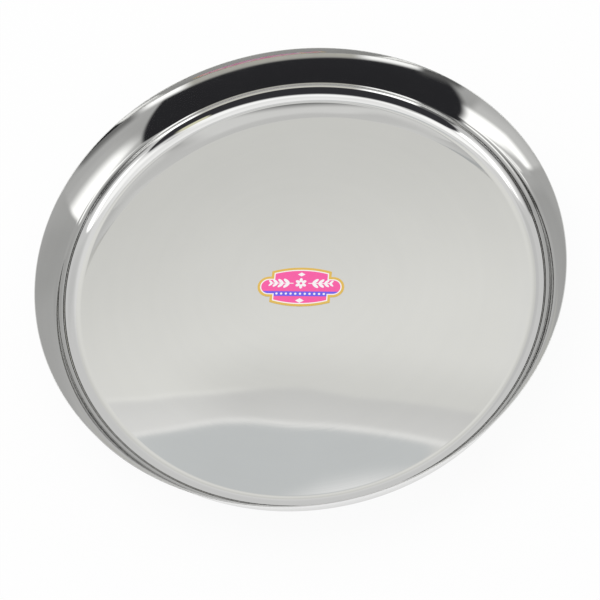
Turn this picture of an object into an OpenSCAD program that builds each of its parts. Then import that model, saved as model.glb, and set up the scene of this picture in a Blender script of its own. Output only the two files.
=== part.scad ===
// Round pressed steel dining plate with a steep wall that opens towards the rim, and its paper sticker.
// The outside diameter, the height and the sheet are set first, and the flat floor is what is left.
// The dish stands on the plane z = 0 and its axis is the Z axis.

/* [Dish] */
// Diameter over the edge of the rim
rim_d = 330; // [240:5:420]
// Height from the table to the top of the rim
dish_h = 38; // [30:0.5:48]
// Thickness of the steel sheet
sheet_t = 0.6; // [0.4:0.1:1.2]

/* [Wall] */
// Inside radius of the bend between floor and wall
corner_r = 12; // [4:0.5:16]
// Slope of the wall where it leaves that bend, in degrees from the floor
wall_angle = 85; // [76:0.5:88]
// Slope of the wall at the rim, which it reaches in one large arc
rim_angle = 71; // [58:0.5:74]

/* [Label] */
// Length of the sticker over its round ends
label_w = 57; // [46:0.5:80]
// Height of the sticker in its middle
label_h = 29; // [26:0.5:40]
// Thickness of the sticker's paper
label_t = 0.12; // [0.1:0.02:0.3]
// Sideways place of the sticker's middle
label_x = 1; // [-30:0.5:30]
// Place of the sticker's middle towards the far rim
label_y = -7.5; // [-30:0.5:30]
// Height of the long bar with the round ends
bar_h = 15; // [10:0.5:18]
// Width of the taller panel in the middle
panel_w = 39.5; // [30:0.5:44]
// Rise of the panel's bowed top and bottom edges
panel_bow = 3; // [1:0.5:4]

/* [Hidden] */

// Faces round the dish and round the sticker's curves
revolve_fn = 240;
curve_fn = 180;

// Degrees that one step of an arc turns
bend_step = 2.5;

// The middle of the rounded edge, and the end of the inside face beside it
edge_r = sheet_t / 2;
edge_middle = [rim_d / 2 - edge_r, dish_h - edge_r];
wall_end = edge_middle + edge_r * [-sin(rim_angle), cos(rim_angle)];

// Run and rise of the corner, and the wall's large radius, which fills the height over it
corner_run = corner_r * sin(wall_angle);
corner_rise = corner_r * (1 - cos(wall_angle));
wall_r = (wall_end[1] - sheet_t - corner_rise) / (cos(rim_angle) - cos(wall_angle));
wall_run = wall_r * (sin(wall_angle) - sin(rim_angle));

// Radius of the flat floor, and the middles of the corner's arc and of the wall's
floor_r = wall_end[0] - wall_run - corner_run;
corner_middle = [floor_r, sheet_t + corner_r];
wall_middle = wall_end - wall_r * [-sin(rim_angle), cos(rim_angle)];

// The sticker: middles of its round ends, and the radius that bows the panel
bar_reach = (label_w - bar_h) / 2;
bow_r = (pow(panel_w / 2, 2) + pow(panel_bow, 2)) / (2 * panel_bow);

// A unit direction at an angle
function towards(angle) = [cos(angle), sin(angle)];

// Points of an arc, from one angle to another
function arc(centre, radius, from, to) =
    let (steps = ceil(abs(to - from) / bend_step))
    [for (i = [0 : steps]) centre + radius * towards(from + (to - from) * i / steps)];

// Points after the first, which repeats the end of the arc before
function rest(points) = [for (i = [1 : len(points) - 1]) points[i]];

// One face of the sheet from the floor to the rim: the inside face, or the one a sheet below it
function sheet_face(below) =
    concat(
        arc(corner_middle, corner_r + below, -90, wall_angle - 90),
        rest(arc(wall_middle, wall_r - below, wall_angle + 90, rim_angle + 90))
    );

// Points in the opposite order
function reversed(points) = [for (i = [len(points) - 1 : -1 : 0]) points[i]];

// Section of the sheet: floor, corner and wall, closed by the burnished edge
module dish_section()
{
    polygon(concat(
        [[0, 0]],
        sheet_face(sheet_t),
        arc(edge_middle, edge_r, rim_angle - 90 + bend_step, rim_angle + 90 - bend_step),
        reversed(sheet_face(0)),
        [[0, sheet_t]]
    ));
}

// One sheet of stainless steel, spun or pressed to its section
module dish()
{
    color("silver")
        rotate_extrude($fn = revolve_fn)
            dish_section();
}

// The bar across the sticker, with its round ends
module bar_outline()
{
    square([2 * bar_reach, bar_h], center = true);
    for (side = [-1, 1])
        translate([side * bar_reach, 0])
            circle(d = bar_h, $fn = curve_fn);
}

// The panel in the middle, with its top and bottom bowed outwards
module panel_outline()
{
    intersection() {
        square([panel_w, label_h], center = true);
        translate([0, label_h / 2 - bow_r])
            circle(bow_r, $fn = curve_fn);
        translate([0, bow_r - label_h / 2])
            circle(bow_r, $fn = curve_fn);
    }
}

// Paper sticker, cut to the outline of a bar and a panel, laid on the floor
module label()
{
    color("hotpink")
        translate([label_x, label_y, sheet_t])
            linear_extrude(label_t) {
                bar_outline();
                panel_outline();
            }
}

dish();
label();
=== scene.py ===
"""Looks of the round polished steel thali: the spun dish, its printed sticker and a plain studio."""

import math

import bpy
import numpy as np
from mathutils import Matrix, Vector


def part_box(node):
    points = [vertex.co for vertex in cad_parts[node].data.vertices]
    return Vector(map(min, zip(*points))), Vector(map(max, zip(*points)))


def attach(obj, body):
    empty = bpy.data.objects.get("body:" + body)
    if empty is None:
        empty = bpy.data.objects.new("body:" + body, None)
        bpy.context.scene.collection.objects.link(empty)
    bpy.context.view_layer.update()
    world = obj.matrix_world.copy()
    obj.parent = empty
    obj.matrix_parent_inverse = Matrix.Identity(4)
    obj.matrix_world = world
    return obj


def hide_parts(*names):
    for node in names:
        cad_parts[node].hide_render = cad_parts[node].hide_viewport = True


bl_info = {
    "name": "Steel Thali Plate",
    "version": (1, 0, 0),
    "blender": (4, 5, 0),
    "location": "View3D > Sidebar > Thali",
    "description": "Builds the polished dish, the print of its sticker and the studio round them",
    "category": "Object",
}

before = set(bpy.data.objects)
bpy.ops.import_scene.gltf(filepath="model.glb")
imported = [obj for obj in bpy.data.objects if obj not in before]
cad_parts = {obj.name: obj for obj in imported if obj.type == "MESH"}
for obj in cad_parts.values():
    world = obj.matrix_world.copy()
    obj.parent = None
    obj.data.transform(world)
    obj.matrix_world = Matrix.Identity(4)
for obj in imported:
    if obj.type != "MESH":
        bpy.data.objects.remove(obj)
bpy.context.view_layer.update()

_, DISH_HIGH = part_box("dish")
LABEL_LOW, LABEL_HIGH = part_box("label")
RIM_RADIUS = DISH_HIGH.x
DISH_HEIGHT = DISH_HIGH.z
LABEL_MIDDLE = ((LABEL_LOW.x + LABEL_HIGH.x) / 2, (LABEL_LOW.y + LABEL_HIGH.y) / 2)
LABEL_SIZE = (LABEL_HIGH.x - LABEL_LOW.x, LABEL_HIGH.y - LABEL_LOW.y)

MM = 0.001
TO_MM = 1000.0
TO_DEGREES = 180 / math.pi
QUARTER = math.pi / 2
WHITE = (1.0, 1.0, 1.0, 1.0)

# Steps of the turned surface round the axis, and along each arc of its section
ROUND_STEPS = 360
CORNER_STEPS = 76
WALL_STEPS = 30
EDGE_STEPS = 12
OUTER_CORNER_STEPS = 40
# Radii of the rings on the flat floor, as shares of its own
FLOOR_RING_SHARES = (0.02, 0.06, 0.15, 0.3, 0.45, 0.6, 0.72, 0.82, 0.9, 0.95, 0.98, 0.995)

# Half the width over which a shape of the sticker's ornament fades, in mm
PRINT_SOFT = 0.15

# The point that the camera aims at, and the plain floor and lamp, in metres and watts
AIM = Vector((3.315 * MM, -24.090 * MM, 13.0 * MM))
FLOOR_HALF = 4.0
LAMP_PLACE = Vector((-0.55, 0.35, 1.6))
LAMP_SIDE = 1.3
LAMP_POWER = 6.0


def length(name, description, default):
    """A size in metres, as a property."""
    return bpy.props.FloatProperty(
        name=name, description=description, default=default, min=0.0, subtype="DISTANCE", unit="LENGTH"
    )


def angle(name, description, degrees):
    """An angle, kept in radians and given in degrees."""
    return bpy.props.FloatProperty(
        name=name, description=description, default=math.radians(degrees), subtype="ANGLE"
    )


def colour(name, description, rgb):
    """A colour, as a property."""
    return bpy.props.FloatVectorProperty(
        name=name, description=description, default=rgb, min=0.0, max=1.0, size=3, subtype="COLOR"
    )


def share(name, description, default):
    """A share from none to all, as a property."""
    return bpy.props.FloatProperty(
        name=name, description=description, default=default, min=0.0, max=1.0, subtype="FACTOR"
    )


class ThaliDishSizes(bpy.types.PropertyGroup):
    """Section and finish of the steel dish."""

    sheet: length("Sheet", "Thickness of the steel", LABEL_LOW.z)
    corner_radius: length("Corner", "Inside radius between floor and wall", 12 * MM)
    wall_slope: angle("Wall", "Slope of the wall where it leaves the corner", 85)
    rim_slope: angle("Rim", "Slope of the wall at the rim", 71)
    steel: colour("Steel", "Colour that the polished steel reflects", (0.620, 0.620, 0.612))
    polish: share("Roughness", "Roughness of the mirror polish", 0.035)
    under_polish: share("Underside roughness", "Roughness of the less polished outside", 0.11)


class ThaliLabelSizes(bpy.types.PropertyGroup):
    """Print of the sticker."""

    bar_height: length("Bar", "Height of the bar with the round ends", 15 * MM)
    panel_width: length("Panel", "Width of the taller panel", 39.5 * MM)
    panel_bow: length("Bow", "Rise of the panel's bowed edges", 3 * MM)
    border: length("Border", "Width of the gold border", 1.7 * MM)
    keyline: length("Keyline", "Width of the white line inside the border", 0.75 * MM)
    gold: colour("Gold", "Border", (0.78, 0.50, 0.075))
    pink: colour("Pink", "Field", (0.93, 0.085, 0.36))
    blue: colour("Blue", "Band", (0.115, 0.09, 0.80))
    white: colour("White", "Keyline and ornament", (0.93, 0.91, 0.92))


class ThaliStudio(bpy.types.PropertyGroup):
    """Camera and light."""

    azimuth: angle("Azimuth", "Camera's place round the plate", 16.247)
    elevation: angle("Elevation", "Camera's height above the table", 60.182)
    roll: angle("Roll", "Turn of the camera about its own axis", -13.522)
    distance: length("Distance", "From the camera to the point it aims at", 600 * MM)
    lens: bpy.props.FloatProperty(
        name="Lens", description="Focal length on the 36 mm sensor", default=57.021, min=1.0, unit="CAMERA"
    )
    floor: colour("Floor", "Pale floor", (0.90, 0.90, 0.90))
    sky_level: share("Sky", "Level of the white tent on matt surfaces", 0.86)


class Shade:
    """A socket of a node tree. Arithmetic on it adds Math nodes, and node() adds any other node."""

    def __init__(self, tree, socket=None):
        self.tree = tree
        self.socket = socket

    def node(self, kind, settings=None, inputs=None, output=0):
        """Adds a node, with its settings set first and then its inputs, and gives one output."""
        made = self.tree.nodes.new(kind)
        for name, value in (settings or {}).items():
            setattr(made, name, value)
        for key, value in (inputs or {}).items():
            if isinstance(value, Shade):
                self.tree.links.new(value.socket, made.inputs[key])
            else:
                made.inputs[key].default_value = value
        return Shade(self.tree, made.outputs[output] if len(made.outputs) else None)

    def math(self, operation, *values):
        """A Math node on this value and the ones given."""
        return self.node("ShaderNodeMath", {"operation": operation}, dict(enumerate((self, *values))))

    def __add__(self, other):
        return self.math("ADD", other)

    def __radd__(self, other):
        return self.math("ADD", other)

    def __sub__(self, other):
        return self.math("SUBTRACT", other)

    def __rsub__(self, other):
        return self.math("MULTIPLY_ADD", -1.0, other)

    def __mul__(self, other):
        return self.math("MULTIPLY", other)

    def __rmul__(self, other):
        return self.math("MULTIPLY", other)

    def __truediv__(self, other):
        return self.math("DIVIDE", other)

    def __pow__(self, other):
        return self.math("POWER", other)

    def __abs__(self):
        return self.math("ABSOLUTE")

    def least(self, other):
        return self.math("MINIMUM", other)

    def most(self, other):
        return self.math("MAXIMUM", other)

    def sine(self):
        return self.math("SINE")

    def root(self):
        return self.math("SQRT")

    def rise(self, low, high):
        """A smooth step from 0 at low to 1 at high, which may be below low."""
        return self.node(
            "ShaderNodeMapRange",
            {"interpolation_type": "SMOOTHSTEP"},
            {"Value": self, "From Min": low, "From Max": high},
        )

    def over(self, limit, soft):
        """1 over the limit and 0 under it, with a fade that reaches as far as soft on both sides."""
        return self.rise(limit - soft, limit + soft)

    def under(self, limit, soft):
        """1 under the limit and 0 over it, with a fade that reaches as far as soft on both sides."""
        return self.rise(limit + soft, limit - soft)

    def within(self, low, high, soft):
        """1 from low to high with edges that fade over the width soft."""
        half = soft / 2
        return self.over(low, half) * self.under(high, half)

    def level(self, first, *changes):
        """A value that starts at first and goes over to each next level between two readings."""
        value = first
        for low, high, following in changes:
            value = self.rise(low, high) * (following - first) + value
            first = following
        return value

    def swing(self, spread):
        """A value from 0 to 1 as a change of at most half the spread, down or up."""
        return (self - 0.5) * spread

    def blend(self, first, second):
        """The first colour where this is 0 and the second where it is 1; a number stands for a grey."""
        first, second = (
            (c, c, c, 1.0) if isinstance(c, (int, float)) else c for c in (first, second)
        )
        return self.node(
            "ShaderNodeMix", {"data_type": "RGBA"}, {0: self, 6: first, 7: second}, output=2
        )

    def vector(self, x, y, z=0.0):
        """A vector or a colour from its three parts."""
        return self.node("ShaderNodeCombineXYZ", None, {0: x, 1: y, 2: z})

    def part(self, index):
        """One coordinate of a vector."""
        return self.node("ShaderNodeSeparateXYZ", None, {0: self}, output=index)

    def noise(self, scale, detail, roughness=0.5):
        """Noise read at this vector, from 0 to 1."""
        return self.node(
            "ShaderNodeTexNoise",
            None,
            {"Vector": self, "Scale": scale, "Detail": detail, "Roughness": roughness},
        )

    def bump(self, depth, strength=1.0, **under):
        """A normal bent by this height, up to depth in metres, over the normal given as Normal."""
        return self.node(
            "ShaderNodeBump", None, {"Strength": strength, "Distance": depth, "Height": self, **under}
        )


def rgba(values):
    """A colour with full alpha."""
    return (*values, 1.0)


def new_material(name):
    """A material with a Principled shader; gives the material, a Shade on its tree and the shader."""
    material = bpy.data.materials.new(name)
    material.use_nodes = True
    tree = material.node_tree
    tree.nodes.clear()
    shader = tree.nodes.new("ShaderNodeBsdfPrincipled")
    out = tree.nodes.new("ShaderNodeOutputMaterial")
    tree.links.new(shader.outputs[0], out.inputs["Surface"])
    return material, Shade(tree), shader


def feed(shader, name, value):
    """Links a worked-out value to a socket of the shader."""
    value.tree.links.new(value.socket, shader.inputs[name])


def ring_noise(place, across, along, **noise):
    """Noise in rings round the axis. It is read at radius and height times across, and at the turn in
    radians times along, so it changes quickly over the section and slowly along a ring."""
    x, y, z = (place.part(i) for i in range(3))
    radius = (x * x + y * y).root()
    turn = y.math("ARCTAN2", x)
    return place.vector(radius * across, turn * along, z * across).noise(1.0, **noise)


def steel_material(sizes):
    """Mirror polished stainless steel with faint rings from the buff, soft waves and a duller outside."""
    material, start, shader = new_material("polished_steel")
    place = start.node("ShaderNodeTexCoord", output="Object")
    outside = start.node("ShaderNodeAttribute", {"attribute_name": "outside"}, output="Fac")
    fine = ring_noise(place, across=1400.0, along=1.2, detail=3.0, roughness=0.6)
    coarse = ring_noise(place, across=160.0, along=0.6, detail=2.0)
    smudge = place.noise(scale=16.0, detail=3.0, roughness=0.55)
    waves = place.noise(scale=14.0, detail=1.0, roughness=0.4)

    # The rings show more on the outside, which has had less of the buff
    inside_rings, more_outside, smudge_tone = 0.025, 0.10, 0.05
    tone = smudge.swing(smudge_tone) + coarse.swing(outside * more_outside + inside_rings) + 1.0
    steel = start.node(
        "ShaderNodeVectorMath", {"operation": "SCALE"}, {0: tuple(sizes.steel), "Scale": tone}
    )
    feed(shader, "Base Color", steel)

    gloss_change, dull_change = 0.02, 0.05
    gloss = fine.swing(gloss_change) + smudge.rise(0.52, 0.75) * gloss_change + sizes.polish
    dull = fine.swing(dull_change) + smudge.swing(dull_change) + sizes.under_polish
    feed(shader, "Roughness", gloss + (dull - gloss) * outside)

    wave_depth, buff_depth = 0.06 * MM, 0.001 * MM
    feed(shader, "Normal", fine.bump(buff_depth, Normal=waves.bump(wave_depth)))
    shader.inputs["Metallic"].default_value = 1.0
    return material


def outline_depth(sizes, x, y):
    """Depth inside the sticker's outline, in mm: the greater of the depth in the bar, which is a run of
    circles, and the depth in the panel, which is a box with a bowed top and bottom."""
    across, up = abs(x), abs(y)
    bar_half = sizes.bar_height * TO_MM / 2
    past = (across - (LABEL_SIZE[0] * TO_MM / 2 - bar_half)).most(0.0)
    bar_depth = bar_half - (past * past + y * y).root()

    panel_half = sizes.panel_width * TO_MM / 2
    bow = sizes.panel_bow * TO_MM
    bow_radius = (panel_half**2 + bow**2) / (2 * bow)
    rise = up + (bow_radius - LABEL_SIZE[1] * TO_MM / 2)
    panel_depth = (bow_radius - (x * x + rise * rise).root()).least(panel_half - across)
    return bar_depth.most(panel_depth)


def label_material(sizes):
    """Gloss print: gold border, white keyline, pink field, blue band and a white ornament."""
    material, start, shader = new_material("printed_paper")
    place = start.node("ShaderNodeTexCoord", output="Object")
    x = (place.part(0) - LABEL_MIDDLE[0]) * TO_MM
    y = (place.part(1) - LABEL_MIDDLE[1]) * TO_MM

    # The band's lower and upper edges, and how softly it and the border end, all in mm
    band_low, band_high, band_soft, border_soft = -7.0, -3.4, 0.25, 0.12
    depth = outline_depth(sizes, x, y)
    border = sizes.border * TO_MM
    lined = depth.over(border, border_soft)
    field = depth.over(border + sizes.keyline * TO_MM, border_soft)
    band = y.within(band_low, band_high, band_soft) * field

    white = rgba(sizes.white)
    print_colour = field.blend(white, rgba(sizes.pink))
    print_colour = band.blend(print_colour, rgba(sizes.blue))
    print_colour = (ornament(x, y) * field).blend(print_colour, white)

    wear_share, worn_shade = 0.35, 0.72
    wear = place.noise(scale=700.0, detail=2.0)
    worn_gold = rgba(c * worn_shade for c in sizes.gold)
    gold = (wear * wear_share).blend(rgba(sizes.gold), worn_gold)
    feed(shader, "Base Color", lined.blend(gold, print_colour))

    gloss, gloss_change = 0.30, 0.08
    feed(shader, "Roughness", wear.swing(gloss_change) + gloss)
    paper = place.noise(scale=2600.0, detail=2.0)
    feed(shader, "Normal", paper.bump(0.02 * MM, strength=0.25))
    shader.inputs["Coat Weight"].default_value = 0.35
    shader.inputs["Coat Roughness"].default_value = 0.12
    return material


def ornament(x, y):
    """White ornament as a mask, read in mm: a flower between two stems with leaves, a row of dots on the
    band, and a diamond at the top and at the bottom."""
    flower_y = 2.6
    beside = y - flower_y
    mark = flower(x, beside).most(leaves(abs(x), abs(beside)))
    return mark.most(dots(x, y)).most(diamonds(x, y))


def flower(x, y):
    """Six petals round an open heart. At the angle a the petals reach petal |sin 3a| + waist."""
    petal, waist, heart = 2.0, 1.9, 0.9
    span = (x * x + y * y).root()
    petals = abs((y.math("ARCTAN2", x) * 3.0).sine()) * petal + waist
    return (span - petals).under(0.0, PRINT_SOFT) * span.over(heart, PRINT_SOFT)


def leaves(across, up):
    """A stem, and pairs of leaves that grow from it: ellipses that lean outwards from their foot."""
    stem_half, stem_soft, stem_start, stem_end = 0.28, 0.12, 4.9, 20.5
    lean_across, lean_up, slimness = 0.77, 0.64, 0.42
    mark = up.under(stem_half, stem_soft) * across.within(stem_start, stem_end, 0.5)
    for foot, half in ((7.6, 2.5), (11.6, 2.3), (15.4, 2.0), (18.8, 1.6)):
        out = across - foot
        along = out * lean_across + up * lean_up - half
        beside = up * lean_across - out * lean_up
        leaf = (along / half) ** 2.0 + (beside / (half * slimness)) ** 2.0
        mark = mark.most(leaf.under(1.0, PRINT_SOFT))
    return mark


def dots(x, y):
    """A row of round dots, one at each multiple of the pitch."""
    pitch, radius, row_y, row_half = 3.1, 0.75, -5.2, 17.6
    aside = (x / pitch).math("PINGPONG", 0.5) * pitch
    above = y - row_y
    dot = (aside * aside + above * above).root().under(radius, PRINT_SOFT)
    return dot * abs(x).under(row_half, 0.2)


def diamonds(x, y):
    """Two diamonds, where the height from the middle plus flatness |x| is less than half the height."""
    flatness = 0.6
    top, bottom = (
        (abs(y - middle) + abs(x) * flatness).under(half, PRINT_SOFT)
        for middle, half in ((9.3, 1.5), (-10.2, 1.7))
    )
    return top.most(bottom)


def arc(centre, radius, first, last, steps):
    """Points centre + radius (cos a, sin a), and their angles, for a in even steps from first to last."""
    a = np.linspace(first, last, steps + 1)
    return np.stack([centre[0] + radius * np.cos(a), centre[1] + radius * np.sin(a)], -1), a


def dish_profile(sizes):
    """The section as (radius, height), the angle of its normal and how far it is outside, from the middle
    of the inside over floor, corner, wall and edge, and back along the outside to the middle below.
    Corner and wall are two arcs that touch, and the wall's radius is what fills the height over the
    corner."""
    t, wall, rim = sizes.sheet, sizes.wall_slope, sizes.rim_slope
    corner_radius = sizes.corner_radius
    edge_radius = t / 2
    edge_middle = np.array([RIM_RADIUS - edge_radius, DISH_HEIGHT - edge_radius])
    across = np.array([-math.sin(rim), math.cos(rim)])
    wall_end = edge_middle + edge_radius * across
    corner_rise = corner_radius * (1 - math.cos(wall))
    wall_radius = (wall_end[1] - t - corner_rise) / (math.cos(rim) - math.cos(wall))
    wall_run = wall_radius * (math.sin(wall) - math.sin(rim))
    floor_radius = wall_end[0] - wall_run - corner_radius * math.sin(wall)
    corner_centre = np.array([floor_radius, t + corner_radius])
    wall_centre = wall_end - wall_radius * across

    rings = floor_radius * np.array(FLOOR_RING_SHARES)
    above = np.stack([rings, np.full(len(rings), t)], -1)
    below = np.stack([rings[::-1], np.zeros(len(rings))], -1)
    corner, corner_a = arc(corner_centre, corner_radius, -QUARTER, wall - QUARTER, CORNER_STEPS)
    inner, inner_a = arc(wall_centre, wall_radius, wall + QUARTER, rim + QUARTER, WALL_STEPS)
    edge, edge_a = arc(edge_middle, edge_radius, rim + QUARTER, rim - QUARTER, EDGE_STEPS)
    outer, outer_a = arc(wall_centre, wall_radius - t, rim + QUARTER, wall + QUARTER, WALL_STEPS)
    bend, bend_a = arc(corner_centre, corner_radius + t, wall - QUARTER, -QUARTER, OUTER_CORNER_STEPS)

    # Each run of points with its normals and its mark; a run that starts where the last ended skips it
    inside, half_way, outside = 0.0, 0.5, 1.0
    runs = (
        (above, np.full(len(above), QUARTER), inside),
        (corner, corner_a + math.pi, inside),
        (inner[1:], inner_a[1:], inside),
        (edge[1:], edge_a[1:], half_way),
        (outer[1:], outer_a[1:] - math.pi, outside),
        (bend[1:], bend_a[1:], outside),
        (below, np.full(len(below), -QUARTER), outside),
    )
    points = np.concatenate([run for run, _, _ in runs])
    normals = np.concatenate([facing for _, facing, _ in runs])
    marks = np.concatenate([np.full(len(run), mark) for run, _, mark in runs])
    return points, normals, marks


def lathe(name, profile, normals, marks, segments):
    """A closed surface of revolution: point (r cos p, r sin p, z) for each profile point (r, z) and each
    angle p. A pole closes each end, at the height of the first and last profile points."""
    p = np.arange(segments) * (2 * math.pi / segments)
    round_p = np.stack([np.cos(p), np.sin(p)], -1)

    def rings(r, z):
        flat = r[:, None, None] * round_p[None]
        up = np.broadcast_to(z[:, None, None], flat.shape[:2] + (1,))
        return np.concatenate([flat, up], -1).reshape(-1, 3)

    grid = rings(profile[:, 0], profile[:, 1])
    poles = [[0, 0, profile[0, 1]], [0, 0, profile[-1, 1]]]
    vertices = np.concatenate([grid, poles])
    facing = np.concatenate([rings(np.cos(normals), np.sin(normals)), [[0, 0, 1], [0, 0, -1]]])

    ring = np.arange(len(profile) - 1)[:, None] * segments
    here = np.arange(segments)
    beyond = (here + 1) % segments
    quads = np.stack(
        [ring + here, ring + segments + here, ring + segments + beyond, ring + beyond], -1
    ).reshape(-1, 4)
    last = (len(profile) - 1) * segments
    top = np.stack([np.full(segments, len(grid)), here, beyond], -1)
    bottom = np.stack([np.full(segments, len(grid) + 1), last + beyond, last + here], -1)

    mesh = bpy.data.meshes.new(name)
    mesh.from_pydata(vertices.tolist(), [], quads.tolist() + top.tolist() + bottom.tolist())
    mesh.polygons.foreach_set("use_smooth", np.ones(len(mesh.polygons), bool))
    attribute = mesh.attributes.new("outside", "FLOAT", "POINT")
    value = np.concatenate([np.repeat(marks, segments), [marks[0], marks[-1]]])
    attribute.data.foreach_set("value", value.astype(np.float32))
    mesh.normals_split_custom_set_from_vertices(facing.tolist())
    mesh.update()
    return mesh


def add_object(name, data):
    """An object at the origin, linked to the scene."""
    made = bpy.data.objects.new(name, data)
    bpy.context.scene.collection.objects.link(made)
    return made


class THALI_OT_dish(bpy.types.Operator):
    """Build the polished dish as one turned surface in place of the plain solid"""

    bl_idname = "thali.dish"
    bl_label = "Polished dish"

    def execute(self, context):
        sizes = context.scene.thali_dish
        profile, normals, marks = dish_profile(sizes)
        mesh = lathe("polished_dish", profile, normals, marks, ROUND_STEPS)
        mesh.materials.append(steel_material(sizes))
        dish = add_object("polished_dish", mesh)
        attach(dish, "root")
        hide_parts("dish")
        return {"FINISHED"}


class THALI_OT_label(bpy.types.Operator):
    """Give the sticker its print"""

    bl_idname = "thali.label"
    bl_label = "Sticker print"

    def execute(self, context):
        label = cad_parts["label"]
        label.data.materials.clear()
        label.data.materials.append(label_material(context.scene.thali_label))
        return {"FINISHED"}


class Room:
    """What polished metal sees round the plate, as levels and colours by direction in degrees. The turn
    is 0 over the camera and positive to its right, and the height is 0 level with the table."""

    def __init__(self, start, camera_azimuth):
        way = start.node("ShaderNodeTexCoord", output="Generated")
        x, y, z = (way.part(i) for i in range(3))
        turn = x.math("ARCTAN2", y * -1.0) * TO_DEGREES - math.degrees(camera_azimuth)
        self.start = start
        self.turn = turn.math("WRAP", 180.0, -180.0)
        self.height = z.math("ARCSINE") * TO_DEGREES
        self.seen = None

    def paint(self, mask, colour_value):
        """Lays a level or a colour over what was there before."""
        self.seen = mask.blend(self.seen, colour_value)

    def patch(self, turns, turn_fade, heights, height_fade, level):
        """A level between two turns and two heights, with edges that fade over two widths."""
        self.paint(self.turn.within(*turns, turn_fade) * self.height.within(*heights, height_fade), level)

    def column(self, turns, turn_fade, heights, level):
        """A level between two turns, on one side of an edge that fades in from one height to the next."""
        self.paint(self.turn.within(*turns, turn_fade) * self.height.rise(*heights), level)


def paint_tent(room):
    """The tent left and right, lighter high up, with a duller patch and a dim foot on each side."""
    left = room.height.level(0.885, (34, 48, 1.0), (58, 62, 1.05), (64, 74, 1.3))
    right = room.height.level(0.87, (46, 58, 1.06), (64, 74, 1.3))
    room.seen = room.turn.within(0, 165, 20).blend(left, right)
    room.patch((98, 124), 12, (20, 46), 14, level=0.80)
    room.patch((-172, -128), 8, (34, 50), 6, level=0.80)
    room.column((86, 146), 6, (9, 3), level=0.2)
    room.column((-128, -112), 8, (8, 2), level=0.45)
    room.column((-100, 100), 40, (74, 84), level=1.22)


def over_edge(height, side, slope, curve, top):
    """Degrees over an edge that has the height top, less slope times the degrees to the side and curve
    times their square."""
    return height + side * slope + side * side * curve - top


def paint_ceiling(room):
    """Behind the plate, a ceiling that gets lighter up to one soft edge, and beyond the next, which has
    a bright line along it, is darker and bluer. Places are degrees from straight behind."""
    side = room.turn.math("WRAP", 360.0, 0.0) - 180.0
    wave_middle, wave_rate, wave_height, step = 9.6, 0.2417, 0.2, 0.2
    wave = ((side - wave_middle) * wave_rate).sine() * side.rise(-10.0, -2.0) * wave_height
    first = over_edge(room.height, side, slope=0.1285, curve=0.0025, top=65.99)
    first = first - wave - side.rise(18.0, 23.0) * step
    second = over_edge(room.height, side, slope=0.1259, curve=0.0020, top=68.13)
    second = second + side.within(8.5, 19.0, 8.0) * step

    fall, ridge, line = 0.11, 0.10, 1.2
    duller = side.rise(21.0, 10.0) * fall
    lighter = first.within(-0.28, 0.0, 0.2) * side.rise(6.0, 14.0) * ridge
    before = room.height.level(0.905, (50.5, 62.5, 1.085)) - first.rise(-3.6, -0.3) * duller + lighter
    between = first.level(0.985, (0.0, 1.9, 1.05)) - duller
    crossed = first.over(0.0, 0.14)
    grey = second.within(-0.30, 0.02, 0.2).blend(crossed.blend(before, between), line).part(0)

    green_share, blue_share, bluer = 0.998, 0.965, 0.02
    tinted = room.start.vector(grey, grey * green_share, grey * (crossed * bluer + blue_share))
    beyond = second.rise(-0.05, 0.15) * side.rise(-18.0, -14.5)
    ceiling = beyond.blend(tinted, rgba((0.80, 0.825, 0.835)))
    room.paint(abs(side).rise(34.0, 24.0) * room.height.within(48.0, 71.5, 2.0), ceiling)


def paint_left_box(room):
    """The soft box on the left, brightest in the middle of its height, between slanted edges. It has a
    bright tip, a duller notch under that and a dull foot towards the opening."""
    turn, height, slant = room.turn, room.height, 0.22
    under = height + (turn + 104.0).least(0.0) * slant
    over = height + (turn + 110.0) * -slant
    lower = under.level(0.20, (4, 17, 0.95), (17, 27, 1.25), (27.5, 31.5, 2.75))
    upper = height.level(1.28, (48, 55, 1.55), (62, 72, 1.22))
    room.paint(turn.within(-119.5, -60, 3), over.rise(38.0, 41.0).blend(lower, upper))
    room.patch((-121, -108), 3, (41.4, 45.0), 1.2, level=2.4)
    notch = turn.rise(-103, -119) * turn.rise(-124, -120) * height.within(36.6, 41.3, 2.6)
    room.paint(notch, 1.1)
    room.column((-88, -74), 4, (30, 26), level=0.82)


def paint_right_box(room):
    """The soft box on the right, with slanted edges and a dark foot towards the opening."""
    turn, height, top_slant, side_slant = room.turn, room.height, 0.25, 0.45
    over = height + (turn - 75.0) * -top_slant
    lower = height.level(0.20, (4, 20, 0.93), (20, 26, 1.05), (26, 34.5, 2.75))
    upper = height.level(1.38, (49, 53, 1.5), (60, 70, 1.22))
    leaning = turn - (height - 28.0) * side_slant
    shape = leaning.within(20, 89, 2.5) * turn.rise(47, 66)
    room.paint(shape, over.rise(39.5, 43.0).blend(lower, upper))
    room.column((47, 74), 6, (19.0, 14.5), level=0.33)


def paint_top_band(room):
    """The bright band over the opening, and the gap at each end of it."""
    room.patch((-70, 42), 20, (56, 77), 5, level=1.5)
    room.patch((-84, -77), 4, (54, 62), 4, level=1.0)
    room.patch((46, 54), 4, (58, 63), 4, level=0.7)


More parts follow.
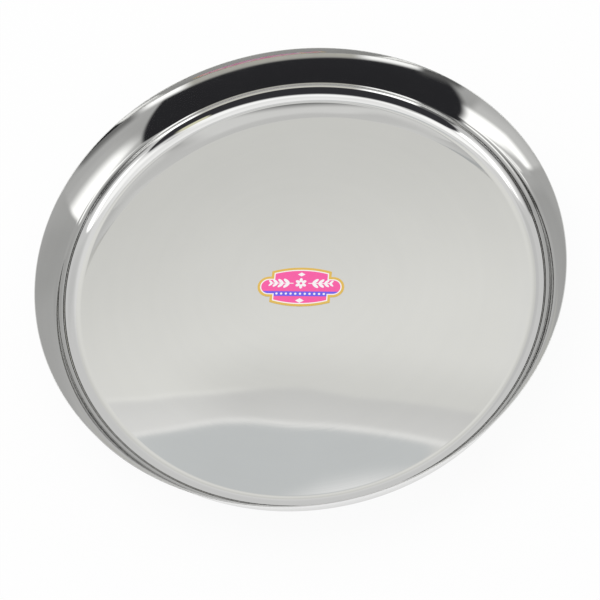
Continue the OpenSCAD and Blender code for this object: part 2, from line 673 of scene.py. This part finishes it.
def paint_opening(room):
    """The dark opening behind the camera. Below a height each side draws in by its draw times the square
    of the degrees below, and the soft top is an arch that falls by its fall times the square of the
    degrees from its middle."""
    turn, height = room.turn, room.height
    left_end, left_height, left_draw = 90.0, 45.0, 0.0176
    right_end, right_height, right_draw = 54.5, 50.0, 0.0172
    arch_middle, arch_fall = 26.0, 0.0033
    below_left = (height - left_height).least(0.0)
    below_right = (height - right_height).least(0.0)
    from_left = turn + left_end - below_left * below_left * left_draw
    to_right = turn * -1.0 + right_end - below_right * below_right * right_draw
    arch = height + (turn + arch_middle) ** 2.0 * arch_fall
    sides = from_left.rise(-2.0, 3.0) * to_right.rise(-1.5, 1.5)
    room.paint(sides * height.rise(14.2, 17.2) * arch.rise(70.3, 58.0), rgba((0.046, 0.046, 0.052)))


def paint_card(room):
    """A pale yellow card in the opening, with slanted sides and a slanted lower edge."""
    side_slant, edge_slant = 0.25, 0.3
    leaning = room.turn + (room.height - 44.0) * -side_slant
    edge = room.height + (room.turn - 30.0) * edge_slant
    sides = leaning.rise(20.5, 24.0) * leaning.rise(41.0, 35.0)
    room.paint(sides * edge.rise(42.0, 46.0) * room.height.rise(61.0, 55.0), rgba((0.98, 0.96, 0.70)))


def paint_foot(room):
    """Below the opening: a streaked pale wall between two white strips, and a dark post on the left."""
    across, up, top = 0.22, 0.01, (17.2, 14.2)
    streaks = room.start.vector(room.turn * across, room.height * up).noise(1.0, detail=2.0)
    wall = streaks.blend(rgba((0.76, 0.75, 0.69)), rgba((0.92, 0.90, 0.82)))
    room.column((-41, 26), 8, top, level=wall)
    room.column((-64, -42), 9, top, level=2.2)
    room.column((25, 42), 8, top, level=2.4)
    room.column((-80, -64), 4, (21.0, 15.0), level=0.2)


def ray_kinds(start):
    """Masks of the rays that come straight from the camera, and of those that metal or glass sends on."""
    camera, glossy, through = (
        start.node("ShaderNodeLightPath", output=f"Is {kind} Ray")
        for kind in ("Camera", "Glossy", "Transmission")
    )
    return camera, glossy.most(through)


def studio_world(studio):
    """White to the camera, one level of light on matt surfaces, and the room in polished metal only."""
    world = bpy.data.worlds.new("tent")
    world.use_nodes = True
    world.node_tree.nodes.clear()
    start = Shade(world.node_tree)
    room = Room(start, studio.azimuth)
    paint_tent(room)
    paint_ceiling(room)
    paint_left_box(room)
    paint_right_box(room)
    paint_top_band(room)
    paint_opening(room)
    paint_card(room)
    paint_foot(room)

    from_camera, from_metal = ray_kinds(start)
    shown = from_camera.blend(from_metal.blend(studio.sky_level, room.seen), WHITE)
    background = start.node("ShaderNodeBackground", None, {"Color": shown, "Strength": 1.0})
    start.node("ShaderNodeOutputWorld", None, {"Surface": background})
    return world


def floor_material(colour_value):
    """Matt white floor that shows nearly full white to the camera and to polished metal, and its shadow
    in what is left."""
    glow_share, grain_shade = 0.92, 0.985
    material, start, shader = new_material("pale_floor")
    shader.inputs["Roughness"].default_value = 0.9
    shader.inputs["Specular IOR Level"].default_value = 0.0
    grain = start.node("ShaderNodeTexCoord", output="Object").noise(scale=30.0, detail=3.0)
    darker = rgba(c * grain_shade for c in colour_value)
    feed(shader, "Base Color", grain.blend(rgba(colour_value), darker))

    from_camera, from_metal = ray_kinds(start)
    glow = start.node("ShaderNodeEmission", None, {"Color": WHITE, "Strength": 1.0})
    matt = Shade(start.tree, shader.outputs[0])
    shown = from_camera.most(from_metal) * glow_share
    mixed = start.node("ShaderNodeMixShader", None, {0: shown, 1: matt, 2: glow})
    out = next(n for n in start.tree.nodes if n.bl_idname == "ShaderNodeOutputMaterial")
    start.tree.links.new(mixed.socket, out.inputs["Surface"])
    return material


def add_floor(studio):
    """The square floor under the plate."""
    half = FLOOR_HALF
    mesh = bpy.data.meshes.new("floor")
    corners = [(-half, -half, 0.0), (half, -half, 0.0), (half, half, 0.0), (-half, half, 0.0)]
    mesh.from_pydata(corners, [], [(0, 1, 2, 3)])
    mesh.materials.append(floor_material(studio.floor))
    add_object("floor", mesh)


def add_lamp():
    """The soft square lamp, which only matt surfaces see, turned towards the plate."""
    lamp = bpy.data.lights.new("soft_lamp", "AREA")
    lamp.shape = "SQUARE"
    lamp.size = LAMP_SIDE
    lamp.energy = LAMP_POWER
    soft = add_object("soft_lamp", lamp)
    soft.visible_glossy = False
    soft.visible_camera = False
    turned = LAMP_PLACE.to_track_quat("Z", "Y").to_matrix().to_4x4()
    soft.matrix_world = Matrix.Translation(LAMP_PLACE) @ turned


def add_camera(studio):
    """The camera from azimuth, elevation, roll and distance round the point it aims at."""
    az, el, roll = studio.azimuth, studio.elevation, studio.roll
    back = Vector((math.sin(az) * math.cos(el), -math.cos(az) * math.cos(el), math.sin(el)))
    level = Vector((math.cos(az), math.sin(az), 0.0))
    upright = back.cross(level)
    right = math.cos(roll) * level + math.sin(roll) * upright
    up = back.cross(right)
    place = AIM + studio.distance * back
    data = bpy.data.cameras.new("camera")
    data.sensor_width = 36.0
    data.lens = studio.lens
    camera = add_object("camera", data)
    camera.matrix_world = Matrix(
        [[right[i], up[i], back[i], place[i]] for i in range(3)] + [[0.0, 0.0, 0.0, 1.0]]
    )
    bpy.context.scene.camera = camera


class THALI_OT_stage(bpy.types.Operator):
    """Build the floor, the soft lamp, the white tent and the camera"""

    bl_idname = "thali.stage"
    bl_label = "Studio"

    def execute(self, context):
        studio = context.scene.thali_studio
        add_floor(studio)
        add_lamp()
        context.scene.world = studio_world(studio)
        context.scene.view_settings.view_transform = "Standard"
        add_camera(studio)
        return {"FINISHED"}


class THALI_PT_build(bpy.types.Panel):
    """Buttons that build the plate, and its sizes and colours"""

    bl_idname = "THALI_PT_build"
    bl_label = "Thali"
    bl_space_type = "VIEW_3D"
    bl_region_type = "UI"
    bl_category = "Thali"

    def draw(self, context):
        for operator, group in BUTTONS.items():
            box = self.layout.box()
            box.operator(operator)
            sizes = getattr(context.scene, group)
            for name in sizes.__annotations__:
                box.prop(sizes, name)


BUTTONS = {"thali.dish": "thali_dish", "thali.label": "thali_label", "thali.stage": "thali_studio"}
GROUPS = {"thali_dish": ThaliDishSizes, "thali_label": ThaliLabelSizes, "thali_studio": ThaliStudio}
CLASSES = (*GROUPS.values(), THALI_OT_dish, THALI_OT_label, THALI_OT_stage, THALI_PT_build)


def register():
    for cls in CLASSES:
        bpy.utils.register_class(cls)
    for name, group in GROUPS.items():
        setattr(bpy.types.Scene, name, bpy.props.PointerProperty(type=group))


def unregister():
    for name in GROUPS:
        delattr(bpy.types.Scene, name)
    for cls in reversed(CLASSES):
        bpy.utils.unregister_class(cls)


def build():
    """Runs the operators in order."""
    register()
    bpy.ops.thali.dish()
    bpy.ops.thali.label()
    bpy.ops.thali.stage()


if __name__ == "__main__":
    build()
